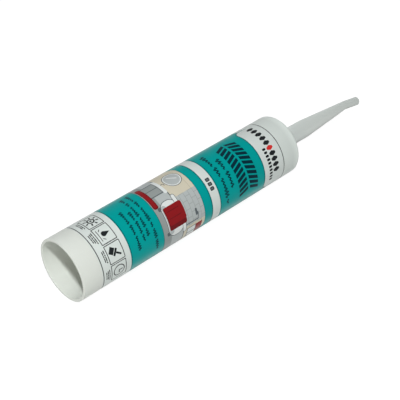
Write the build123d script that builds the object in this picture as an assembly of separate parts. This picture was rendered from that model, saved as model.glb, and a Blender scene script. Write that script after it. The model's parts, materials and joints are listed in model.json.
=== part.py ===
from build123d import *
import math
import os

# Sealant cartridge lying on its side, in millimetres.
# Every piece is drawn about the X axis with the rear rim at x = 0 and the nozzle towards +X,
# and is moved at the end so that the origin is under the middle of the whole tube.

# Barrel: one moulding with the front wall, boss and neck
barrel_diameter = 49.2
barrel_length = 216.0
barrel_wall = 2.3
front_wall = 2.2
shoulder_radius = 2.6
shoulder_flats = 4
rim_bevel = 0.3
lead_in_length = 12.0
lead_in_step = 0.2
lead_in_taper = 1.5

# Boss and neck that carry the nozzle
boss_diameter = 24.0
boss_height = 1.6
boss_bevel = 0.6
neck_diameter = 11.2
neck_length = 15.0
neck_bore = 8.0
neck_seal = 0.8
neck_bevel = 0.7

# Wrap label, flush in a shallow seat round the barrel
label_rear_margin = 16.1
label_front_margin = 18.0
label_thickness = 0.15
label_glue_gap = 0.03
label_sink = 0.02

# Piston: a thin cup with two sealing lips, a hub and radial ribs
piston_depth = 24.0
piston_length = 17.0
piston_crown = 2.0
piston_skirt_wall = 1.5
piston_bevel = 2.0
piston_clearance = 0.2
lip_width = 2.2
lip_height = 1.1
hub_diameter = 15.0
hub_wall = 1.6
rib_count = 8
rib_thickness = 1.4
rib_drop = 1.0

# Sealant between the piston and the front wall
sealant_gap = 0.3

# Nozzle: threaded skirt with a grip collar, long cone, and a tip that is bent a little to one side,
# the side to which the whole nozzle leans on its neck
nozzle_seat_gap = 0.3
thread_height = 0.7
thread_clearance = 0.2
skirt_wall = 0.9
skirt_length = 29.0
socket_end_gap = 1.5
collar_height = 2.6
collar_overhang = 1.6
collar_bevel = 0.6
grip_count = 12
grip_length = 8.0
grip_height = 0.7
grip_width = 1.3
cone_length = 49.6
tip_diameter = 7.1
tip_length = 16.6
tip_bevel = 0.7
tip_bend = 7.5
tip_bend_radius = 15.0
tip_bend_heading = 225.0
nozzle_lean = 0.5
nozzle_wall = 1.3

# Radii and stations that follow from the sizes above
barrel_radius = barrel_diameter / 2
bore_radius = barrel_radius - barrel_wall
front_inside = barrel_length - front_wall
boss_radius = boss_diameter / 2
boss_face = barrel_length + boss_height
neck_radius = neck_diameter / 2
neck_bore_radius = neck_bore / 2
neck_end = boss_face + neck_length
label_end = barrel_length - label_front_margin
seat_radius = barrel_radius - label_sink - label_thickness - label_glue_gap
piston_front = piston_depth + piston_length
lip_radius = bore_radius - piston_clearance
waist_radius = lip_radius - lip_height
skirt_inner_radius = waist_radius - piston_skirt_wall
hub_radius = hub_diameter / 2
nozzle_base = boss_face + nozzle_seat_gap
socket_radius = neck_radius + thread_height + thread_clearance
socket_end = neck_end + socket_end_gap
skirt_radius = socket_radius + skirt_wall
collar_radius = skirt_radius + collar_overhang
collar_top = nozzle_base + collar_height
cone_start = nozzle_base + skirt_length
cone_end = cone_start + cone_length
passage_radius = skirt_radius - nozzle_wall
tip_radius = tip_diameter / 2
tip_bore_radius = tip_radius - nozzle_wall
bend_side = Vector(0, 1, 0).rotate(Axis.X, tip_bend_heading)
hinge = Vector(1, 0, 0).cross(bend_side)
cut_over = 1.0
tolerance = 1e-3


def turned(*outline):
    """Solid of revolution about X from its half outline of (station, radius) points."""
    return revolve(make_face(Polyline(*outline, close=True)), Axis.X)


def rings(solid, station, radius):
    """The round edges about the axis at one station and radius."""
    return [
        edge
        for edge in solid.edges().filter_by(GeomType.CIRCLE)
        if abs(edge.radius - radius) < tolerance and abs(edge.arc_center.X - station) < tolerance
    ]


def round_array(shape, count):
    """Copies of a shape spread evenly about the X axis."""
    return [Rot(X=360 * index / count) * shape for index in range(count)]


def shoulder_points():
    """The shoulder's quarter round as a few flats, from the barrel's side to its front face."""
    turns = [math.pi / 2 * step / shoulder_flats for step in range(shoulder_flats + 1)]
    return [
        (
            barrel_length - shoulder_radius * (1 - math.sin(turn)),
            barrel_radius - shoulder_radius * (1 - math.cos(turn)),
        )
        for turn in turns
    ]


def make_barrel():
    """Open-ended tube with a closed front, a boss and a sealed neck."""
    lead_radius = bore_radius + lead_in_step
    body = turned(
        (0, lead_radius),
        (0, barrel_radius),
        (label_rear_margin, barrel_radius),
        (label_rear_margin, seat_radius),
        (label_end, seat_radius),
        (label_end, barrel_radius),
        *shoulder_points(),
        (barrel_length, boss_radius),
        (boss_face, boss_radius),
        (boss_face, neck_radius),
        (neck_end, neck_radius),
        (neck_end, 0),
        (neck_end - neck_seal, 0),
        (neck_end - neck_seal, neck_bore_radius),
        (front_inside, neck_bore_radius),
        (front_inside, bore_radius),
        (lead_in_length + lead_in_taper, bore_radius),
        (lead_in_length, lead_radius),
    )
    body = chamfer(rings(body, 0, barrel_radius) + rings(body, 0, lead_radius), rim_bevel)
    body = chamfer(rings(body, boss_face, boss_radius), boss_bevel)
    return chamfer(rings(body, neck_end, neck_radius), neck_bevel)


def make_label():
    """Printed film wrapped once round the barrel, with its face flush with the end bands."""
    inner = seat_radius + label_glue_gap
    outer = inner + label_thickness
    start = label_rear_margin + label_glue_gap
    end = label_end - label_glue_gap
    return turned((start, inner), (start, outer), (end, outer), (end, inner))


def make_piston():
    """Cup open to the rear, with a sealing lip at each end, a tubular hub and radial ribs."""
    crown_back = piston_front - piston_crown
    front_lip = piston_front - piston_bevel
    cup = turned(
        (piston_depth, skirt_inner_radius),
        (piston_depth, lip_radius),
        (piston_depth + lip_width, lip_radius),
        (piston_depth + lip_width, waist_radius),
        (front_lip - lip_width, waist_radius),
        (front_lip - lip_width, lip_radius),
        (front_lip, lip_radius),
        (piston_front, lip_radius - piston_bevel),
        (piston_front, 0),
        (crown_back, 0),
        (crown_back, skirt_inner_radius),
    )
    rib_rear = piston_depth + rib_drop
    rib_front = crown_back + piston_crown / 2
    hub = turned(
        (rib_rear, hub_radius - hub_wall),
        (rib_rear, hub_radius),
        (rib_front, hub_radius),
        (rib_front, hub_radius - hub_wall),
    )
    rib_foot = hub_radius - hub_wall / 2
    rib_head = skirt_inner_radius + piston_skirt_wall / 2
    rib_outline = Polyline(
        (rib_rear, rib_foot),
        (rib_rear, rib_head),
        (rib_front, rib_head),
        (rib_front, rib_foot),
        close=True,
    )
    rib = extrude(make_face(rib_outline), rib_thickness / 2, both=True)
    return cup + hub + round_array(rib, rib_count)


def make_sealant():
    """Paste that fills the barrel from the piston to the seal of the neck."""
    fill_radius = bore_radius - sealant_gap
    fill_rear = piston_front + sealant_gap
    fill_front = front_inside - sealant_gap
    plug_radius = neck_bore_radius - sealant_gap
    plug_front = neck_end - neck_seal - sealant_gap
    return turned(
        (fill_rear, 0),
        (fill_rear, fill_radius),
        (fill_front, fill_radius),
        (fill_front, plug_radius),
        (plug_front, plug_radius),
        (plug_front, 0),
    )


def tip_rod(radius, overrun=0):
    """Round rod on from the cone's end: a short bend, then straight to the outlet."""
    bend_axis = Axis(Vector(cone_end, 0, 0) + bend_side * tip_bend_radius, hinge)
    section = Plane(origin=(cone_end, 0, 0), x_dir=hinge, z_dir=(1, 0, 0)) * Circle(radius)
    bend = revolve(section, bend_axis, tip_bend)
    straight_length = tip_length - tip_bend_radius * math.radians(tip_bend)
    return bend + extrude(section.rotate(bend_axis, tip_bend), straight_length + overrun)


def make_nozzle():
    """Hollow nozzle, open at both ends, with grip ribs on its collar, leaning on its neck."""
    body = turned(
        (nozzle_base, 0),
        (nozzle_base, skirt_radius),
        (cone_start, skirt_radius),
        (cone_end, tip_radius),
        (cone_end, 0),
    )
    collar = turned(
        (nozzle_base, 0),
        (nozzle_base, collar_radius),
        (collar_top - collar_bevel, collar_radius),
        (collar_top, collar_radius - collar_bevel),
        (collar_top, 0),
    )
    grip_outline = Polyline(
        (nozzle_base, socket_radius + skirt_wall / 2),
        (nozzle_base, skirt_radius + grip_height),
        (collar_top + grip_length - grip_height, skirt_radius + grip_height),
        (collar_top + grip_length + grip_height, socket_radius + skirt_wall / 2),
        close=True,
    )
    grip = extrude(make_face(grip_outline), grip_width / 2, both=True)
    tip = tip_rod(tip_radius)
    tip = chamfer(tip.edges().filter_by(GeomType.CIRCLE).sort_by(Axis.X)[-1], tip_bevel)
    passage = turned(
        (nozzle_base - cut_over, 0),
        (nozzle_base - cut_over, socket_radius),
        (socket_end, socket_radius),
        (socket_end, passage_radius),
        (cone_start, passage_radius),
        (cone_end, tip_bore_radius),
        (cone_end, 0),
    )
    outside = body + collar + round_array(grip, grip_count) + tip
    upright = outside - passage - tip_rod(tip_bore_radius, cut_over)
    return upright.rotate(Axis((nozzle_base, 0, 0), hinge), nozzle_lean)


pieces = {
    "barrel": make_barrel(),
    "label": make_label(),
    "piston": make_piston(),
    "sealant": make_sealant(),
    "nozzle": make_nozzle(),
}
overall_length = pieces["nozzle"].bounding_box().max.X
to_row_frame = Pos(-overall_length / 2, 0, barrel_radius)

os.makedirs("parts", exist_ok=True)
for node, shape in pieces.items():
    export_step(to_row_frame * shape, f"parts/{node}.step")

print("overall length", round(overall_length, 3))
print("piston travel to the front wall", round(front_inside - piston_front, 3))
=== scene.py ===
import json
import math

import bpy
from mathutils import Matrix, Vector
from mathutils.geometry import delaunay_2d_cdt


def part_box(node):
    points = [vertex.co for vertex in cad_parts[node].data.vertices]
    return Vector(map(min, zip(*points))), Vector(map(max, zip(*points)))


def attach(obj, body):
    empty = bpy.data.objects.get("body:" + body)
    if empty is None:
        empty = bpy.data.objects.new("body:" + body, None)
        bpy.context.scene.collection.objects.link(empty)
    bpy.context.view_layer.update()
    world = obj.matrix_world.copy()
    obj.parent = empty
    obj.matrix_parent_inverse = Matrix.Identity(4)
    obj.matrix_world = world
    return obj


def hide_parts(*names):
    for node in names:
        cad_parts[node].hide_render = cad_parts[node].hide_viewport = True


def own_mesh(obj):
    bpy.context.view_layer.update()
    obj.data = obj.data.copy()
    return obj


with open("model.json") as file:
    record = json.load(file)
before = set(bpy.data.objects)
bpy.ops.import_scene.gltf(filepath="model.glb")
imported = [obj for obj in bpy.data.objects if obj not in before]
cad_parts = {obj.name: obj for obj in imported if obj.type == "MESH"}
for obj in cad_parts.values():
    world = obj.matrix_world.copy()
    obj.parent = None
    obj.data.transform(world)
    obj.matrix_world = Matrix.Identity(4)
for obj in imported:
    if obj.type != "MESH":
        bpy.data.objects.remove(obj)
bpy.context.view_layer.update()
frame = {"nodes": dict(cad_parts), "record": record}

# A caulk tube that lies on its side: +X runs from the open rear to the nozzle.
# Lengths are metres. A station is a distance from the rear rim along the tube.
MM = 0.001
FULL_TURN = 2 * math.pi
SEGMENTS = 192

# Places that the frame gives
mounts = {mount["name"]: mount for mount in frame["record"]["mounts"]}
REAR_X = mounts["rear_rim"]["pos_m"][0]
AXIS_Z = mounts["plunger_bore"]["pos_m"][2]
LEAD_RADIUS = mounts["plunger_bore"]["dims"]["r_mm"] * MM
BARREL_LENGTH = mounts["front_face"]["pos_m"][0] - REAR_X
BARREL_RADIUS = AXIS_Z
LABEL_START, LABEL_END = (corner.x - REAR_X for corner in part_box("label"))
NECK_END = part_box("barrel")[1].x - REAR_X
SEALANT_START, SEALANT_END = (corner.x - REAR_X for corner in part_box("sealant"))

# Barrel, boss and neck
BARREL_WALL = 2.3 * MM
FRONT_WALL = 2.2 * MM
RIM_ROUND = 0.45 * MM
LEAD_LENGTH = 12.0 * MM
LEAD_TAPER = 1.5 * MM
SHOULDER_ROUND = 2.6 * MM
SHOULDER_STEPS = 12
LABEL_SEAT = 0.2 * MM
BOSS_RADIUS = 12.0 * MM
BOSS_HEIGHT = 1.6 * MM
NECK_RADIUS = 5.6 * MM
NECK_BORE = 4.0 * MM
NECK_SEAL = 0.8 * MM
SMALL_ROUND = 0.5 * MM
BORE_RADIUS = BARREL_RADIUS - BARREL_WALL
FRONT_INSIDE = BARREL_LENGTH - FRONT_WALL
BOSS_FACE = BARREL_LENGTH + BOSS_HEIGHT

# Screw thread on the neck, whose ends run out over a few steps
THREAD_PITCH = 3.0 * MM
THREAD_HEIGHT = 0.6 * MM
THREAD_ROOT = 1.7 * MM
THREAD_CREST = 0.6 * MM
THREAD_SINK = 0.15 * MM
THREAD_MARGIN = 2.2 * MM
THREAD_STEPS = 48
THREAD_RUN_OUT = 12

# Nozzle
COLLAR_RADIUS = 9.0 * MM
COLLAR_HEIGHT = 2.6 * MM
SKIRT_RADIUS = 7.4 * MM
SKIRT_LENGTH = 29.0 * MM
SOCKET_RADIUS = 6.5 * MM
SOCKET_GAP = 1.5 * MM
PASSAGE_RADIUS = 6.1 * MM
CONE_LENGTH = 49.6 * MM
CONE_ROWS = 10
TIP_LENGTH = 16.6 * MM
TIP_RADIUS = 3.55 * MM
TIP_BORE = 2.25 * MM
TIP_ROUND = 0.6 * MM
TIP_BEND = math.radians(7.5)
TIP_BEND_RADIUS = 15.0 * MM
TIP_BEND_HEADING = math.radians(225.0)
TIP_BEND_ROWS = 8
NOZZLE_LEAN = math.radians(0.5)
NOZZLE_SEAT_GAP = 0.3 * MM
NOZZLE_BASE = BOSS_FACE + NOZZLE_SEAT_GAP
CONE_START = NOZZLE_BASE + SKIRT_LENGTH
CONE_END = CONE_START + CONE_LENGTH
TIP_END = CONE_END + TIP_LENGTH

# Grip ribs on the nozzle. A rib takes a share of its pitch, has sloped sides and runs out at its front.
GRIP_COUNT = 12
GRIP_LENGTH = 8.0 * MM
GRIP_HEIGHT = 0.7 * MM
GRIP_SHARE = 0.36
GRIP_SLOPE = 2.0
GRIP_RUN_OUT = 0.5
GRIP_FILLET_ROWS = 4

# Label film. Its print is laid out from the angle that faces the viewer and from a base line.
FILM_SINK = 0.02 * MM
FILM_THICKNESS = 0.15 * MM
FRONT_ANGLE = math.radians(131.5)
BASE_LINE = 0.8 * MM
FILM_RADIUS = BARREL_RADIUS - FILM_SINK


# Materials: noise in a middle band moves colour and gloss between their lowest and highest values

NOISE_LOW = 0.3
NOISE_HIGH = 0.7
CLOUD_SCALE = 45
CLOUD_DETAIL = 4
GLOSS_SCALE = 160
GLOSS_DETAIL = 3
GLOSS_SWING = 0.05
GRAIN_DETAIL = 4
GRAIN_DEPTH = 0.05 * MM
SOFT_DEPTH = 1.5 * MM
SHEEN_ROUGHNESS = 0.28
EVEN = (1, 1, 1)
MOULD_FLOW = (0.35, 1, 1)


def srgb(red, green, blue):
    """Linear colour of an sRGB colour given in steps of 255."""
    def linear(step):
        share = step / 255
        return share / 12.92 if share <= 0.04045 else ((share + 0.055) / 1.055) ** 2.4
    return (linear(red), linear(green), linear(blue), 1.0)


def tinted(colour, factor):
    """A colour made lighter or darker by a factor."""
    return tuple(min(channel * factor, 1.0) for channel in colour[:3]) + (1.0,)


def noise(tree, scale, detail, stretch):
    """Noise in the part's own coordinates, stretched along its axes."""
    coordinates = tree.nodes.new("ShaderNodeTexCoord")
    mapping = tree.nodes.new("ShaderNodeMapping")
    mapping.inputs["Scale"].default_value = stretch
    texture = tree.nodes.new("ShaderNodeTexNoise")
    texture.inputs["Scale"].default_value = scale
    texture.inputs["Detail"].default_value = detail
    tree.links.new(coordinates.outputs["Object"], mapping.inputs["Vector"])
    tree.links.new(mapping.outputs["Vector"], texture.inputs["Vector"])
    return texture.outputs["Fac"]


def ramp(tree, factor, low, high):
    """Colour that runs from low to high with a factor."""
    stops = tree.nodes.new("ShaderNodeValToRGB")
    stops.color_ramp.elements[0].position = NOISE_LOW
    stops.color_ramp.elements[0].color = low
    stops.color_ramp.elements[1].position = NOISE_HIGH
    stops.color_ramp.elements[1].color = high
    tree.links.new(factor, stops.inputs["Fac"])
    return stops.outputs["Color"]


def spread(tree, factor, low, high):
    """Number that runs from low to high with a factor."""
    span = tree.nodes.new("ShaderNodeMapRange")
    span.inputs["From Min"].default_value = NOISE_LOW
    span.inputs["From Max"].default_value = NOISE_HIGH
    span.inputs["To Min"].default_value = low
    span.inputs["To Max"].default_value = high
    tree.links.new(factor, span.inputs["Value"])
    return span.outputs["Result"]


def surface(
    name, colour, mottle, roughness, specular, grain, bump,
    stretch=EVEN, soft=0.0, matt=0.0, sheen=0.0,
):
    """Plastic, paste or ink: mottled colour, uneven gloss and a fine grain."""
    material = bpy.data.materials.new(name)
    material.use_nodes = True
    tree = material.node_tree
    shader = tree.nodes["Principled BSDF"]
    shader.inputs["Specular IOR Level"].default_value = specular
    shader.inputs["Subsurface Weight"].default_value = soft
    shader.inputs["Subsurface Radius"].default_value = (1.0, 1.0, 1.0)
    shader.inputs["Subsurface Scale"].default_value = SOFT_DEPTH
    shader.inputs["Diffuse Roughness"].default_value = matt
    shader.inputs["Sheen Weight"].default_value = sheen
    shader.inputs["Sheen Roughness"].default_value = SHEEN_ROUGHNESS
    clouds = noise(tree, CLOUD_SCALE, CLOUD_DETAIL, stretch)
    tint = ramp(tree, clouds, tinted(colour, 1 - mottle), tinted(colour, 1 + mottle))
    tree.links.new(tint, shader.inputs["Base Color"])
    patches = noise(tree, GLOSS_SCALE, GLOSS_DETAIL, stretch)
    gloss = spread(tree, patches, roughness - GLOSS_SWING, roughness + GLOSS_SWING)
    tree.links.new(gloss, shader.inputs["Roughness"])
    relief = tree.nodes.new("ShaderNodeBump")
    relief.inputs["Strength"].default_value = bump
    relief.inputs["Distance"].default_value = GRAIN_DEPTH
    tree.links.new(noise(tree, grain, GRAIN_DETAIL, stretch), relief.inputs["Height"])
    tree.links.new(relief.outputs["Normal"], shader.inputs["Normal"])
    return material


def tint_along(material, start, end, factors):
    """Multiplies a material's colour by factors that come in from one station of the tube to another."""
    tree = material.node_tree
    colour = tree.nodes["Principled BSDF"].inputs["Base Color"]
    before = colour.links[0].from_socket
    coordinates = tree.nodes.new("ShaderNodeTexCoord")
    split = tree.nodes.new("ShaderNodeSeparateXYZ")
    rise = tree.nodes.new("ShaderNodeMapRange")
    rise.inputs["From Min"].default_value = REAR_X + start
    rise.inputs["From Max"].default_value = REAR_X + end
    change = tree.nodes.new("ShaderNodeVectorMath")
    change.operation = "MULTIPLY_ADD"
    change.inputs[1].default_value = [factor - 1 for factor in factors]
    change.inputs[2].default_value = (1, 1, 1)
    after = tree.nodes.new("ShaderNodeVectorMath")
    after.operation = "MULTIPLY"
    tree.links.new(coordinates.outputs["Object"], split.inputs["Vector"])
    tree.links.new(split.outputs["X"], rise.inputs["Value"])
    tree.links.new(rise.outputs["Result"], change.inputs[0])
    tree.links.new(before, after.inputs[0])
    tree.links.new(change.outputs["Vector"], after.inputs[1])
    tree.links.new(after.outputs["Vector"], colour)


# The barrel's plastic turns cooler towards the front, and a painted highlight makes it lightest at its
# shoulder
FRONT_TINT = (0.965, 1.0, 1.02)
SHOULDER_PAINTED_HIGHLIGHT = (1.18, 1.18, 1.18)
PAINTED_HIGHLIGHT_START = BARREL_LENGTH - 8.0 * MM
PAINTED_HIGHLIGHT_END = BARREL_LENGTH - 2.0 * MM
barrel_plastic = surface(
    "barrel_plastic", srgb(218, 223, 217), mottle=0.012, roughness=0.42, specular=0.15,
    grain=900, bump=0.12, stretch=MOULD_FLOW, soft=0.12,
)
tint_along(barrel_plastic, LABEL_START, LABEL_END, FRONT_TINT)
# Painted highlight: the colour is lightened towards the front shoulder so that it looks lit there
tint_along(barrel_plastic, PAINTED_HIGHLIGHT_START, PAINTED_HIGHLIGHT_END, SHOULDER_PAINTED_HIGHLIGHT)

# The nozzle's plastic is greyer, and it gets darker towards the tip
TIP_TINT = (0.90, 0.90, 0.90)
nozzle_plastic = surface(
    "nozzle_plastic", srgb(205, 211, 208), mottle=0.010, roughness=0.50, specular=0.20,
    grain=900, bump=0.05, stretch=MOULD_FLOW, matt=1.0,
)
tint_along(nozzle_plastic, NOZZLE_BASE, TIP_END, TIP_TINT)

piston_plastic = surface(
    "piston_plastic", srgb(222, 224, 218), mottle=0.015, roughness=0.45, specular=0.35,
    grain=900, bump=0.15, soft=0.12,
)
sealant_paste = surface(
    "sealant_paste", srgb(150, 154, 154), mottle=0.03, roughness=0.30, specular=0.50,
    grain=300, bump=0.35, soft=0.05,
)

INKS = {
    "film": srgb(214, 222, 219),
    "teal": srgb(0, 156, 154),
    "deep": srgb(0, 116, 116),
    "navy": srgb(4, 44, 56),
    "black": srgb(34, 38, 40),
    "red": srgb(214, 52, 50),
    "crimson": srgb(140, 29, 33),
    "maroon": srgb(112, 26, 30),
    "cream": srgb(209, 203, 183),
    "sand": srgb(190, 182, 160),
    "pale": srgb(180, 187, 187),
    "mid": srgb(148, 155, 154),
    "slate": srgb(92, 100, 104),
    "white": srgb(222, 227, 226),
}
inks = {
    ink: surface(
        f"print_{ink}", colour, mottle=0.02, roughness=0.45, specular=0.03,
        grain=1400, bump=0.06, sheen=0.8,
    )
    for ink, colour in INKS.items()
}


# Meshes

def on_axis(station, radius, angle):
    """Point at a station, a radius and an angle from +Y towards +Z."""
    return Vector((
        REAR_X + station,
        radius * math.cos(angle),
        AXIS_Z + radius * math.sin(angle),
    ))


def arc(station, radius, size, start, end, steps=6):
    """Points on a round about (station, radius) or (across, up); angles are degrees from the first axis."""
    turns = [math.radians(start + (end - start) * step / steps) for step in range(steps + 1)]
    return [(station + size * math.cos(turn), radius + size * math.sin(turn)) for turn in turns]


def finish_mesh(name, points, faces, sharp=30.0):
    """Object from points and faces, smooth up to a sharp angle."""
    mesh = bpy.data.meshes.new(name)
    mesh.from_pydata(points, [], faces)
    mesh.validate()
    mesh.shade_smooth()
    mesh.set_sharp_from_angle(angle=math.radians(sharp))
    piece = bpy.data.objects.new(name, mesh)
    bpy.context.scene.collection.objects.link(piece)
    return piece


def lathe(name, outline, place=on_axis, swell=None):
    """Closed surface swept round by an outline of (station, radius) that runs clockwise, outside first."""
    points = []
    rings = []
    for row, (station, radius) in enumerate(outline):
        first = len(points)
        if radius == 0:
            points.append(place(station, 0, 0))
            rings.append([first] * SEGMENTS)
            continue
        for step in range(SEGMENTS):
            angle = FULL_TURN * step / SEGMENTS
            extra = swell(row, angle) if swell else 0
            points.append(place(station, radius + extra, angle))
        rings.append(list(range(first, first + SEGMENTS)))
    faces = []
    for here, there in zip(rings, rings[1:] + rings[:1]):
        for step in range(SEGMENTS):
            after = (step + 1) % SEGMENTS
            corners = [here[step], here[after], there[after], there[step]]
            face = list(dict.fromkeys(corners))
            if len(face) > 2:
                faces.append(face)
    return finish_mesh(name, points, faces)


def dress(piece, material, body, slot, *nodes):
    """Gives a piece its material, the body it moves with and the nodes it stands for."""
    piece.data.materials.clear()
    piece.data.materials.append(material)
    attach(piece, body)
    if nodes:
        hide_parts(*nodes)


# Barrel

def barrel_outline():
    """Section of the barrel from the rear rim over the outside to the neck and back along the bore."""
    seat = BARREL_RADIUS - LABEL_SEAT
    outer_rim = BARREL_RADIUS - RIM_ROUND
    inner_rim = LEAD_RADIUS + RIM_ROUND
    shoulder = BARREL_LENGTH - SHOULDER_ROUND
    boss_foot = BOSS_RADIUS + SMALL_ROUND
    neck_foot = NECK_RADIUS + SMALL_ROUND
    seal_back = NECK_END - NECK_SEAL
    return (
        arc(RIM_ROUND, outer_rim, RIM_ROUND, 180, 90)
        + [(LABEL_START, BARREL_RADIUS), (LABEL_START, seat), (LABEL_END, seat), (LABEL_END, BARREL_RADIUS)]
        + arc(shoulder, BARREL_RADIUS - SHOULDER_ROUND, SHOULDER_ROUND, 90, 0, SHOULDER_STEPS)
        + arc(BARREL_LENGTH + SMALL_ROUND, boss_foot, SMALL_ROUND, 180, 270)
        + arc(BOSS_FACE - SMALL_ROUND, BOSS_RADIUS - SMALL_ROUND, SMALL_ROUND, 90, 0)
        + arc(BOSS_FACE + SMALL_ROUND, neck_foot, SMALL_ROUND, 180, 270)
        + arc(NECK_END - SMALL_ROUND, NECK_RADIUS - SMALL_ROUND, SMALL_ROUND, 90, 0)
        + [(NECK_END, 0), (seal_back, 0), (seal_back, NECK_BORE), (FRONT_INSIDE, NECK_BORE)]
        + arc(FRONT_INSIDE - SMALL_ROUND, BORE_RADIUS - SMALL_ROUND, SMALL_ROUND, 0, 90)
        + [(LEAD_LENGTH + LEAD_TAPER, BORE_RADIUS), (LEAD_LENGTH, LEAD_RADIUS)]
        + arc(RIM_ROUND, inner_rim, RIM_ROUND, 270, 180)
    )


def make_thread():
    """Screw thread round the neck, with ends that run out."""
    start = BOSS_FACE + THREAD_MARGIN
    turns = (NECK_END - THREAD_MARGIN - start) / THREAD_PITCH
    count = round(turns * THREAD_STEPS)
    root = NECK_RADIUS - THREAD_SINK
    points = []
    for step in range(count + 1):
        angle = FULL_TURN * step / THREAD_STEPS
        station = start + THREAD_PITCH * step / THREAD_STEPS
        run_out = min(1, step / THREAD_RUN_OUT, (count - step) / THREAD_RUN_OUT)
        crest = NECK_RADIUS + THREAD_HEIGHT * run_out
        section = (
            (-THREAD_ROOT / 2, root),
            (-THREAD_CREST / 2, crest),
            (THREAD_CREST / 2, crest),
            (THREAD_ROOT / 2, root),
        )
        points += [on_axis(station + offset, radius, angle) for offset, radius in section]
    corners = len(section)
    faces = []
    for step in range(count):
        here = corners * step
        there = here + corners
        for corner in range(corners):
            after = (corner + 1) % corners
            faces.append([here + corner, here + after, there + after, there + corner])
    last = corners * count
    faces.append(list(reversed(range(corners))))
    faces.append(list(range(last, last + corners)))
    return finish_mesh("neck_thread", points, faces)


dress(lathe("barrel_shell", barrel_outline()), barrel_plastic, "barrel", "barrel_plastic", "barrel")
dress(make_thread(), barrel_plastic, "barrel", "barrel_plastic")


# Nozzle

def in_nozzle(station, radius, angle):
    """Point of the nozzle, which leans a little on its neck and bends round at its tip."""
    side = Vector((0, math.cos(TIP_BEND_HEADING), math.sin(TIP_BEND_HEADING)))
    along = Vector((1, 0, 0))
    across = along.cross(side)
    beyond = max(station - CONE_END, 0)
    turn = min(beyond / TIP_BEND_RADIUS, TIP_BEND)
    straight = beyond - TIP_BEND_RADIUS * turn
    heading = along * math.cos(turn) + side * math.sin(turn)
    outward = side * math.cos(turn) - along * math.sin(turn)
    point = along * (min(station, CONE_END) - NOZZLE_BASE + TIP_BEND_RADIUS * math.sin(turn))
    point += side * TIP_BEND_RADIUS * (1 - math.cos(turn))
    point += heading * straight
    point += (outward * math.cos(angle) + across * math.sin(angle)) * radius
    return on_axis(NOZZLE_BASE, 0, 0) + Matrix.Rotation(NOZZLE_LEAN, 3, across) @ point


def make_nozzle():
    """Grip collar, ribbed skirt, cone and bent tip, hollow from end to end."""
    collar_top = NOZZLE_BASE + COLLAR_HEIGHT
    grip_end = collar_top + GRIP_LENGTH
    socket_end = NECK_END + SOCKET_GAP
    bend_length = TIP_BEND * TIP_BEND_RADIUS
    bend = [CONE_END + bend_length * row / TIP_BEND_ROWS for row in range(TIP_BEND_ROWS + 1)]
    outline = (
        arc(NOZZLE_BASE + SMALL_ROUND, COLLAR_RADIUS - SMALL_ROUND, SMALL_ROUND, 180, 90)
        + arc(collar_top - SMALL_ROUND, COLLAR_RADIUS - SMALL_ROUND, SMALL_ROUND, 90, 0)
        + arc(collar_top + SMALL_ROUND, SKIRT_RADIUS + SMALL_ROUND, SMALL_ROUND, 180, 270)
    )
    ribbed_from = len(outline) - GRIP_FILLET_ROWS
    outline += [(collar_top + SMALL_ROUND, SKIRT_RADIUS), (grip_end - GRIP_HEIGHT, SKIRT_RADIUS)]
    ribbed_to = len(outline)
    outline += [(grip_end, SKIRT_RADIUS), (grip_end + GRIP_HEIGHT, SKIRT_RADIUS)]
    for row in range(CONE_ROWS + 1):
        share = row / CONE_ROWS
        radius = SKIRT_RADIUS + (TIP_RADIUS - SKIRT_RADIUS) * share
        outline.append((CONE_START + CONE_LENGTH * share, radius))
    outline += [(station, TIP_RADIUS) for station in bend[1:]]
    outline += arc(TIP_END - TIP_ROUND, TIP_RADIUS - TIP_ROUND, TIP_ROUND, 90, 0)
    outline.append((TIP_END, TIP_BORE))
    outline += [(station, TIP_BORE) for station in reversed(bend)]
    outline += [
        (CONE_START, PASSAGE_RADIUS),
        (socket_end, PASSAGE_RADIUS),
        (socket_end, SOCKET_RADIUS),
        (NOZZLE_BASE, SOCKET_RADIUS),
    ]

    def ribs(row, angle):
        """Height of the grip ribs on a row of the outline."""
        if ribbed_from <= row < ribbed_to:
            strength = 1.0
        elif row == ribbed_to:
            strength = GRIP_RUN_OUT
        else:
            strength = 0.0
        off_middle = abs((angle * GRIP_COUNT / FULL_TURN) % 1 - 0.5) * 2 / GRIP_SHARE
        return strength * GRIP_HEIGHT * max(0.0, min(1.0, GRIP_SLOPE * (1 - off_middle)))

    return lathe("nozzle_shell", outline, in_nozzle, ribs)


dress(make_nozzle(), nozzle_plastic, "nozzle", "nozzle_plastic", "nozzle")


# Piston

piston = frame["nodes"]["piston"]
piston.data.materials.clear()
piston.data.materials.append(piston_plastic)


# Sealant

def make_sealant():
    """Paste from the piston to the seal of the neck."""
    low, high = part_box("sealant")
    fill = (high.z - low.z) / 2
    clearance = BORE_RADIUS - fill
    plug = NECK_BORE - clearance
    front = FRONT_INSIDE - clearance
    edge = 2 * SMALL_ROUND
    outline = (
        [(SEALANT_START, 0)]
        + arc(SEALANT_START + edge, fill - edge, edge, 180, 90)
        + arc(front - edge, fill - edge, edge, 90, 0)
        + arc(front + SMALL_ROUND, plug + SMALL_ROUND, SMALL_ROUND, 180, 270)
        + arc(SEALANT_END - edge, plug - edge, edge, 90, 0)
        + [(SEALANT_END, 0)]
    )
    return lathe("sealant_fill", outline)


sealant = make_sealant()
dress(sealant, sealant_paste, "barrel", "sealant_paste", "sealant")
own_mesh(sealant)


# Label: print is drawn flat in millimetres, across from the front centre and up from its base line

FILM_SEAM = 0.1
FILM_CUTS = 144
HALF_WRAP = math.pi * FILM_RADIUS / MM - FILM_SEAM
FILM_LOW = (LABEL_START - BASE_LINE) / MM
FILM_HIGH = (LABEL_END - BASE_LINE) / MM
SMALL_STEPS = 3
layers = []


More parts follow.
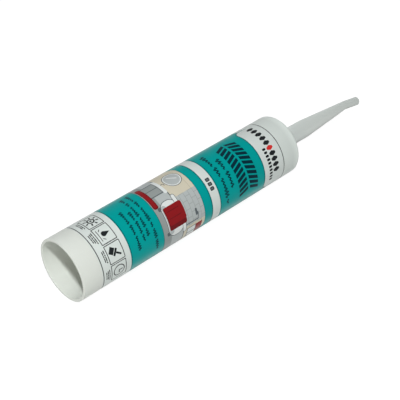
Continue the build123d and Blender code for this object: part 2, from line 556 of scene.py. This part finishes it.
def paint(ink, outline):
    """Adds a flat shape on top of those painted before."""
    area = sum(a[0] * b[1] - b[0] * a[1] for a, b in zip(outline, outline[1:] + outline[:1]))
    if area:
        layers.append((ink, outline if area > 0 else outline[::-1]))


def rectangle(left, low, right, high):
    """Outline of a rectangle."""
    return [(left, low), (right, low), (right, high), (left, high)]


def rounded(left, low, right, high, radius, steps=6, low_radius=None):
    """Rectangle with round corners, of which the low pair may have a radius of its own."""
    foot = radius if low_radius is None else low_radius
    corners = (
        (right - foot, low + foot, foot, -90),
        (right - radius, high - radius, radius, 0),
        (left + radius, high - radius, radius, 90),
        (left + foot, low + foot, foot, 180),
    )
    outline = []
    for across, up, size, start in corners:
        outline += arc(across, up, size, start, start + 90, steps)
    return outline


def disc(across, up, radius, count=28):
    """Outline of a disc."""
    turns = [FULL_TURN * step / count for step in range(count)]
    return [(across + radius * math.cos(turn), up + radius * math.sin(turn)) for turn in turns]


def stroke(path, width):
    """Ribbon of one width along a path of points."""
    left = []
    right = []
    for index, (across, up) in enumerate(path):
        before = path[max(index - 1, 0)]
        after = path[min(index + 1, len(path) - 1)]
        length = math.dist(before, after)
        normal = (-(after[1] - before[1]) / length, (after[0] - before[0]) / length)
        left.append((across + normal[0] * width / 2, up + normal[1] * width / 2))
        right.append((across - normal[0] * width / 2, up - normal[1] * width / 2))
    return right + left[::-1]


def moved(outline, across, up):
    """An outline moved to a place."""
    return [(across + x, up + y) for x, y in outline]


def turned(outline, across, up, degrees):
    """An outline turned about the origin and moved to a place."""
    turn = math.radians(degrees)
    return [
        (across + x * math.cos(turn) - y * math.sin(turn), up + x * math.sin(turn) + y * math.cos(turn))
        for x, y in outline
    ]


def clipped(outline, window):
    """The part of an outline inside a convex window that runs anticlockwise."""
    for start, end in zip(window, window[1:] + window[:1]):
        def inside(point):
            return (end[0] - start[0]) * (point[1] - start[1]) - (end[1] - start[1]) * (point[0] - start[0])
        kept = []
        for here, there in zip(outline, outline[1:] + outline[:1]):
            near = inside(here)
            far = inside(there)
            if near >= 0:
                kept.append(here)
            if near * far < 0:
                share = near / (near - far)
                kept.append(tuple(a + (b - a) * share for a, b in zip(here, there)))
        outline = kept
    return outline


def boxed(line_ink, fill_ink, left, low, right, high, line, radius, inner_radius):
    """Small round-cornered box with a line round it."""
    paint(line_ink, rounded(left, low, right, high, radius, SMALL_STEPS))
    inner = rounded(left + line, low + line, right - line, high - line, inner_radius, SMALL_STEPS)
    paint(fill_ink, inner)


def waves(ink, up, left, right, height, pitch, width, gap, humps):
    """Row of short slanted waves with given numbers of humps."""
    hump_steps = 8
    least_steps = 4
    mean_swing = 0.7
    more_swing = 0.3
    slant = 0.25
    across = left
    index = 0
    while across < right:
        span = min(humps[index % len(humps)] * pitch, right - across)
        index += 1
        steps = max(round(span / pitch * hump_steps), least_steps)
        path = []
        for step in range(steps + 1):
            along = span * step / steps
            swing = mean_swing + more_swing * math.sin(along / pitch + index)
            rise = height / 2 * swing * math.sin(FULL_TURN * along / pitch)
            path.append((across + along + slant * rise, up + rise))
        if span > pitch / 2:
            paint(ink, stroke(path, width))
        across += span + gap


def bars(ink, up, left, right, height, lengths, gap):
    """Row of plain bars of given lengths."""
    across = left
    index = 0
    while across < right:
        end = min(across + lengths[index % len(lengths)], right)
        if end - across > height:
            paint(ink, rectangle(across, up - height / 2, end, up + height / 2))
        across = end + gap
        index += 1


# Fields of the label, from its rear to its front

def paint_fields():
    """Film, thin lines at both ends, teal fields with a dark edge and a tab of film in the front one."""
    rear_line = 16.2
    front_line = 196.83
    half_line = 0.33
    rear_field = (40.95, 120.0)
    front_field = (127.7, 180.3)
    edge = 1.1
    tab_left = -28.5
    tab_right = 33.5
    tab_low = 175.7
    tab_high = 190.7
    tab_edge_high = 190.3
    tab_round = 5.5
    paint("film", rectangle(-HALF_WRAP, FILM_LOW, HALF_WRAP, FILM_HIGH))
    for up in (rear_line, front_line):
        paint("black", rectangle(-HALF_WRAP, up - half_line, HALF_WRAP, up + half_line))
    for low, high in (rear_field, front_field):
        paint("deep", rectangle(-HALF_WRAP, low, HALF_WRAP, high))
        paint("teal", rectangle(-HALF_WRAP, low + edge, HALF_WRAP, high - edge))
    tab_edge = rounded(tab_left - edge, tab_low - edge, tab_right + edge, tab_edge_high, tab_round + edge)
    paint("deep", tab_edge)
    paint("film", rounded(tab_left, tab_low, tab_right, tab_high, tab_round))


def icon_sun(across, up):
    """Ring with a core and eight rays."""
    ring = 3.0
    hole = 1.9
    core = 0.9
    ray = rectangle(3.5, -0.55, 5.6, 0.55)
    ray_count = 8
    paint("black", disc(across, up, ring))
    paint("film", disc(across, up, hole))
    paint("black", disc(across, up, core))
    for step in range(ray_count):
        paint("black", turned(ray, across, up, 360 / ray_count * (step + 0.5)))


def icon_drop(across, up):
    """Drop over a line, with a splash to each side."""
    radius = 2.0
    steps = 14
    peak = (0, 4.8)
    sink = 0.4
    ground = rectangle(-4.6, -4.5, 4.6, -4.0)
    splash_width = 0.5
    drop = arc(0, 0, radius, 150, 390, steps) + [peak]
    paint("black", moved(drop, across, up - sink))
    paint("black", moved(ground, across, up))
    for side in (-1, 1):
        splash = stroke([(side * 2.9, -2.9), (side * 4.4, -1.2)], splash_width)
        paint("black", moved(splash, across, up))


def icon_brush(across, up):
    """Slanted brush."""
    tilt = -38
    bristles = rectangle(-2.6, -4.9, 2.6, -1.2)
    ferrule = rectangle(-2.9, -0.8, 2.9, 0.8)
    handle = rounded(-0.7, 0.8, 0.7, 5.4, 0.6, SMALL_STEPS)
    for outline in (bristles, ferrule, handle):
        paint("black", turned(outline, across, up, tilt))


def icon_clock(across, up):
    """Clock face with two hands."""
    rim = 4.9
    face = 4.15
    steps = 36
    hand_width = 0.8
    hand_tail = 0.4
    long_hand = 3.2
    short_hand = 2.5
    paint("black", disc(across, up, rim, steps))
    paint("film", disc(across, up, face, steps))
    paint("black", stroke([(across, up - hand_tail), (across, up + long_hand)], hand_width))
    paint("black", stroke([(across - hand_tail, up), (across + short_hand, up)], hand_width))


def paint_icons():
    """Four boxed signs at the rear, with rows of tiny bars behind them."""
    icons = (icon_sun, icon_drop, icon_brush, icon_clock)
    centre = 0.3
    pitch = 15.03
    half_box = 14.3 / 2
    low = 23.0
    high = 36.4
    line = 0.6
    box_round = 0.6
    inner_round = 0.4
    row_counts = (2, 3)
    row_up = 21.5
    row_pitch = 1.35
    row_left = -5.2
    row_right = 4.4
    left_step = 0.5
    right_step = 0.9
    bar_height = 0.75
    bar_lengths = (2.6, 1.5, 3.2)
    bar_gap = 0.35
    for index, icon in enumerate(icons):
        across = centre + (index - (len(icons) - 1) / 2) * pitch
        left = across - half_box
        right = across + half_box
        boxed("black", "film", left, low, right, high, line, box_round, inner_round)
        icon(across, (low + high) / 2)
        for row in range(row_counts[index % len(row_counts)]):
            start = across + row_left + left_step * row
            end = across + row_right - right_step * row
            bars("black", row_up - row_pitch * row, start, end, bar_height, bar_lengths, bar_gap)


def paint_rear_waves():
    """Rows of dark waves on the rear teal field."""
    for up, left, right, humps in (
        (49.6, -15.2, 17.4, (6, 4)),
        (55.0, -11.8, 12.2, (4, 5)),
        (59.4, -26.4, 12.2, (3, 2, 5, 4)),
        (65.0, -27.3, 25.1, (5, 3, 6, 2, 4)),
    ):
        waves("navy", up, left, right, height=2.9, pitch=1.85, width=0.74, gap=1.3, humps=humps)


# Picture on the rear field, drawn in millimetres from the low left corner of its panel

PICTURE_LEFT = -37.0
PICTURE_RIGHT = 37.0
PICTURE_LOW = 71.9
PICTURE_HIGH = 111.7
PICTURE_ROUND = 12.0
PICTURE_FOOT_ROUND = 4.0
PICTURE_STEPS = 8
PICTURE_EDGE = 0.5
PICTURE_WIDTH = PICTURE_RIGHT - PICTURE_LEFT
PICTURE_HEIGHT = PICTURE_HIGH - PICTURE_LOW


def panel(edge):
    """Outline of the picture's panel, made larger by an edge."""
    return rounded(
        PICTURE_LEFT - edge, PICTURE_LOW - edge, PICTURE_RIGHT + edge, PICTURE_HIGH + edge,
        PICTURE_ROUND, PICTURE_STEPS, PICTURE_FOOT_ROUND,
    )


def draw(ink, outline):
    """Adds a flat shape of the picture, cut off at the panel's outline."""
    paint(ink, clipped(moved(outline, PICTURE_LEFT, PICTURE_LOW), panel(0)))


def tile_joints(left, low, right, high):
    """Joint lines of tiles whose rows are staggered."""
    tile_width = 6.3
    tile_height = 4.2
    line = 0.3
    row = 0
    while low + row * tile_height < high:
        y = low + row * tile_height
        draw("mid", rectangle(left, y, right, y + line))
        x = left + tile_width * (0.5 if row % 2 else 0.0)
        while x < right:
            draw("mid", rectangle(x, y, x + line, min(y + tile_height, high)))
            x += tile_width
        row += 1


def picture_room():
    """Cream wall over a grey dado and floor, with a tiled part behind the bath."""
    floor = 7.0
    dado = 18.5
    rail_half = 0.4
    tiles_left = 33.0
    tiles_right = 58.2
    wall_line = (36.0, 36.4)
    draw("cream", rectangle(0, dado, PICTURE_WIDTH, PICTURE_HEIGHT))
    draw("sand", rectangle(0, wall_line[0], PICTURE_WIDTH, wall_line[1]))
    draw("pale", rectangle(0, floor, PICTURE_WIDTH, dado))
    draw("pale", rectangle(tiles_left, dado, tiles_right, PICTURE_HEIGHT))
    tile_joints(tiles_left, floor, tiles_right, PICTURE_HEIGHT)
    draw("mid", rectangle(0, 0, PICTURE_WIDTH, floor))
    for left, right in ((0, tiles_left), (tiles_right, PICTURE_WIDTH)):
        draw("slate", rectangle(left, dado - rail_half, right, dado + rail_half))


def picture_wash_stand():
    """Round mirror over a wash stand with two doors, a basin and a tap."""
    middle = 18.5
    mirror_up = 30.0
    glint = stroke([(15.0, 27.5), (20.0, 33.5)], 1.0)
    cupboard = rectangle(11.5, 4.0, 25.5, 16.6)
    left_door = rectangle(12.3, 5.0, 18.2, 15.6)
    right_door = rectangle(18.8, 5.0, 24.7, 15.6)
    basin = rounded(10.0, 16.2, 27.0, 19.0, 1.2)
    tap = stroke([(middle, 19.0), (middle, 21.4), (20.6, 21.4)], 0.7)
    for ink, radius in (("slate", 7.6), ("white", 7.1), ("pale", 6.2)):
        draw(ink, disc(middle, mirror_up, radius))
    draw("white", glint)
    draw("slate", cupboard)
    draw("mid", left_door)
    draw("mid", right_door)
    draw("white", basin)
    draw("slate", tap)


def picture_bath():
    """Bath on two feet, with a towel over its side and a shower above it."""
    left_foot = rounded(34.0, 3.0, 37.0, 8.0, 1.0)
    right_foot = rounded(54.0, 3.0, 57.0, 8.0, 1.0)
    tub_line = rounded(31.4, 4.6, 59.6, 19.4, 6.4)
    tub = rounded(31.9, 5.1, 59.1, 19.0, 6.0)
    tub_shade = rounded(34.0, 5.6, 57.0, 9.6, 2.0)
    rim_line = rounded(29.6, 17.8, 61.4, 21.4, 1.6)
    rim = rounded(30.0, 18.2, 61.0, 21.0, 1.3)
    towel_shade = rounded(36.0, 6.2, 54.0, 22.4, 1.6)
    towel = rounded(36.0, 7.0, 50.2, 22.8, 1.6)
    fold_width = 0.6
    shower_pipe = stroke([(56.5, 21.4), (56.5, 33.4), (50.6, 33.4)], 0.9)
    shower_rose = rounded(47.6, 31.2, 53.2, 33.0, 0.6)
    draw("slate", left_foot)
    draw("slate", right_foot)
    draw("slate", tub_line)
    draw("white", tub)
    draw("pale", tub_shade)
    draw("slate", rim_line)
    draw("white", rim)
    draw("maroon", towel_shade)
    draw("crimson", towel)
    for fold in (39.4, 44.8):
        draw("maroon", rectangle(fold, 8.4, fold + fold_width, 19.4))
    draw("slate", shower_pipe)
    draw("slate", shower_rose)


def picture_window():
    """Window of two panes with a blind."""
    left = 60.6
    right = 71.4
    sill = 22.0
    top = 37.0
    bar = 0.6
    pane_width = 4.4
    blind_low = 31.4
    blind_hem = 30.4
    draw("slate", rectangle(left, sill, right, top))
    for pane in (61.2, 66.4):
        draw("white", rectangle(pane, sill + bar, pane + pane_width, top - bar))
    draw("crimson", rectangle(left, blind_low, right, top))
    draw("maroon", rectangle(left, blind_hem, right, blind_low))


def picture_mat():
    """Mat on the floor in front of the wash stand."""
    draw("maroon", rounded(10.0, 0.6, 34.0, 5.0, 1.6))
    draw("crimson", rounded(11.0, 1.4, 33.0, 4.2, 1.2))


def paint_picture():
    """Panel with round front corners and a plain flat picture of a bathroom."""
    paint("deep", panel(PICTURE_EDGE))
    picture_room()
    picture_wash_stand()
    picture_bath()
    picture_window()
    picture_mat()


# Marks on the band, the front field and the front tab

def paint_band_mark():
    """Three small swatches on the white band."""
    count = 3
    centre = 0.7
    pitch = 3.7
    half_width = 1.4
    low = 122.15
    high = 125.75
    line = 0.65
    outer_round = 0.6
    inner_round = 0.2
    for index in range(count):
        across = centre + (index - (count - 1) / 2) * pitch
        left = across - half_width
        right = across + half_width
        boxed("black", "slate", left, low, right, high, line, outer_round, inner_round)


def paint_title():
    """Two rows of slanted bars that meet as a herringbone, and two rows of waves under them."""
    count = 11
    first = -23.0
    pitch = 4.1
    width = 2.85
    lean = 3.6
    for low, high, tilt in ((158.8, 167.6, lean), (147.9, 156.8, -lean)):
        for index in range(count):
            left = first + index * pitch + (0 if tilt > 0 else lean)
            right = left + width
            paint("navy", [(left, low), (right, low), (right + tilt, high), (left + tilt, high)])
    for up, left, right, humps in (
        (142.25, -13.5, 14.4, (4, 5)),
        (135.25, -23.0, 23.0, (5, 3, 6)),
    ):
        waves("navy", up, left, right, height=4.0, pitch=2.6, width=1.0, gap=1.9, humps=humps)


def paint_front_mark():
    """Row of black six-sided marks with one in red, and a row of short bars under it."""
    mark_count = 10
    red_mark = 5
    first_mark = -23.2
    mark_pitch = 4.6
    mark_up = 188.1
    half_width = 2.05
    half_flat = 0.8
    half_height = 3.0
    bar = rounded(-0.95, -1.65, 0.95, 1.65, 0.8, 4)
    bar_count = 10
    first_bar = -1.0
    bar_pitch = 2.9
    bar_up = 182.3
    mark = [(-half_width, 0), (-half_flat, -half_height), (half_flat, -half_height)]
    mark += [(-x, -y) for x, y in mark]
    for index in range(mark_count):
        ink = "red" if index == red_mark else "black"
        paint(ink, moved(mark, first_mark + index * mark_pitch, mark_up))
    for index in range(bar_count):
        paint("black", moved(bar, first_bar + bar_pitch * index, bar_up))


def wrapped(point, radius):
    """Place on the tube of a point of the flat print."""
    across, up = point
    return on_axis(BASE_LINE + up * MM, radius, FRONT_ANGLE + across * MM / FILM_RADIUS)


def cut_film():
    """Flat points and triangles of the film, cut along every edge of its print, and the layers on each."""
    keep_inside = 1
    merge_distance = 1e-5
    points = []
    faces = []
    for _, outline in layers:
        faces.append(list(range(len(points), len(points) + len(outline))))
        points += [Vector(point) for point in outline]
    edges = []
    for cut in range(1, FILM_CUTS):
        across = HALF_WRAP * (2 * cut / FILM_CUTS - 1)
        edges.append((len(points), len(points) + 1))
        points += [Vector((across, FILM_LOW)), Vector((across, FILM_HIGH))]
    flat, _, triangles, _, _, owners = delaunay_2d_cdt(points, edges, faces, keep_inside, merge_distance)
    return flat, triangles, owners


def make_label():
    """Film as one closed sheet, whose outer side has the ink of the top layer at each place."""
    flat, triangles, owners = cut_film()
    count = len(flat)
    outer = [wrapped(point, FILM_RADIUS) for point in flat]
    inner = [wrapped(point, FILM_RADIUS - FILM_THICKNESS) for point in flat]
    sides = {}
    for a, b, c in triangles:
        for edge in ((a, b), (b, c), (c, a)):
            sides[edge] = True
    rim = [edge for edge in sides if edge[::-1] not in sides]
    sheet = [list(face) for face in triangles]
    sheet += [[count + corner for corner in reversed(face)] for face in triangles]
    sheet += [[b, a, count + a, count + b] for a, b in rim]
    mesh = bpy.data.meshes.new("label_film")
    mesh.from_pydata(outer + inner, [], sheet)
    names = list(INKS)
    for ink in names:
        mesh.materials.append(inks[ink])
    for face, owner in zip(mesh.polygons, owners):
        face.material_index = names.index(layers[max(owner)][0])
    mesh.shade_smooth()
    axis_point = Vector((0, 0, AXIS_Z))
    normals = []
    for index, vertex in enumerate(mesh.vertices):
        radial = vertex.co - axis_point
        radial.x = 0
        normals.append(radial.normalized() * (1 if index < count else -1))
    mesh.normals_split_custom_set_from_vertices(normals)
    piece = bpy.data.objects.new("label_film", mesh)
    bpy.context.scene.collection.objects.link(piece)
    return piece


paint_fields()
paint_icons()
paint_rear_waves()
paint_picture()
paint_band_mark()
paint_title()
paint_front_mark()
label = make_label()
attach(label, "barrel")
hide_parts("label")


# Floor and surroundings

FLOOR_HALF = 6.0
FLOOR_GREY = (0.8, 0.8, 0.8, 1)
FLOOR_GLOW = 1.2
FLOOR_GLOW_SHARE = 0.8
WORLD_LEVEL = 0.12
BACKDROP_LEVEL = 1.0


def backdrop_rays(tree):
    """One for the rays that see the surroundings as a backdrop: camera, glossy and transmission."""
    paths = tree.nodes.new("ShaderNodeLightPath")
    seen = paths.outputs["Is Camera Ray"]
    for kind in ("Is Glossy Ray", "Is Transmission Ray"):
        either = tree.nodes.new("ShaderNodeMath")
        either.operation = "MAXIMUM"
        tree.links.new(seen, either.inputs[0])
        tree.links.new(paths.outputs[kind], either.inputs[1])
        seen = either.outputs["Value"]
    return seen


def floor_white():
    """Pale matt floor that shows white to the camera and keeps a faint shadow."""
    material = bpy.data.materials.new("floor_white")
    material.use_nodes = True
    tree = material.node_tree
    tree.nodes.clear()
    matt = tree.nodes.new("ShaderNodeBsdfDiffuse")
    matt.inputs["Color"].default_value = FLOOR_GREY
    glow = tree.nodes.new("ShaderNodeEmission")
    glow.inputs["Strength"].default_value = FLOOR_GLOW
    share = tree.nodes.new("ShaderNodeMath")
    share.operation = "MULTIPLY"
    share.inputs[1].default_value = FLOOR_GLOW_SHARE
    mixer = tree.nodes.new("ShaderNodeMixShader")
    output = tree.nodes.new("ShaderNodeOutputMaterial")
    tree.links.new(backdrop_rays(tree), share.inputs[0])
    tree.links.new(share.outputs["Value"], mixer.inputs["Fac"])
    tree.links.new(matt.outputs["BSDF"], mixer.inputs[1])
    tree.links.new(glow.outputs["Emission"], mixer.inputs[2])
    tree.links.new(mixer.outputs["Shader"], output.inputs["Surface"])
    return material


def make_floor():
    """Square floor under the tube."""
    corners = rectangle(-FLOOR_HALF, -FLOOR_HALF, FLOOR_HALF, FLOOR_HALF)
    floor = finish_mesh("floor", [Vector((x, y, 0)) for x, y in corners], [[0, 1, 2, 3]])
    floor.data.materials.append(floor_white())


def make_world():
    """White surroundings, at full white only as a backdrop."""
    world = bpy.data.worlds.new("studio")
    world.use_nodes = True
    tree = world.node_tree
    backdrop = tree.nodes["Background"]
    backdrop.inputs["Color"].default_value = (1, 1, 1, 1)
    level = tree.nodes.new("ShaderNodeMapRange")
    level.inputs["To Min"].default_value = WORLD_LEVEL
    level.inputs["To Max"].default_value = BACKDROP_LEVEL
    tree.links.new(backdrop_rays(tree), level.inputs["Value"])
    tree.links.new(level.outputs["Result"], backdrop.inputs["Strength"])
    bpy.context.scene.world = world


make_floor()
make_world()


# Lamps

def make_lamp(name, target, direction, distance, size, power, tint=(1, 1, 1)):
    """Square area lamp that shines at a target from a direction."""
    data = bpy.data.lights.new(name, "AREA")
    data.size = size
    data.energy = power
    data.color = tint
    lamp = bpy.data.objects.new(name, data)
    aim = Vector(direction).normalized()
    lamp.location = Vector(target) + aim * distance
    lamp.rotation_euler = aim.to_track_quat("Z", "Y").to_euler()
    bpy.context.scene.collection.objects.link(lamp)


KEY_DIRECTION = (-0.290, -0.430, 0.855)
FILL_DIRECTION = (-0.78, -0.54, 0.31)
FILL_TINT = (1.0, 0.95, 0.85)
BACK_DIRECTION = (-0.1, 0.6, 0.8)
REAR_PART_STATION = 60 * MM
mouth = on_axis(0, 0, 0)
rear_part = on_axis(REAR_PART_STATION, 0, 0)
make_lamp("key", mouth, KEY_DIRECTION, distance=1.2, size=0.08, power=10.4)
make_lamp("fill", rear_part, FILL_DIRECTION, distance=0.75, size=0.4, power=0.93, tint=FILL_TINT)
make_lamp("back", rear_part, BACK_DIRECTION, distance=0.9, size=0.5, power=1.38)


# Camera, behind the open rear of the tube and above it

CAMERA_PLACE = (REAR_X - 280.78 * MM, -433.15 * MM, 499.38 * MM)
CAMERA_AIM = Vector((0.534666, 0.562803, -0.630385))
CAMERA_LENS = 90.77
CAMERA_SENSOR = 36.0
camera_data = bpy.data.cameras.new("camera")
camera_data.lens = CAMERA_LENS
camera_data.sensor_width = CAMERA_SENSOR
camera = bpy.data.objects.new("camera", camera_data)
camera.location = CAMERA_PLACE
camera.rotation_euler = CAMERA_AIM.to_track_quat("-Z", "Y").to_euler()
bpy.context.scene.collection.objects.link(camera)
bpy.context.scene.camera = camera
bpy.context.scene.view_settings.view_transform = "Standard"
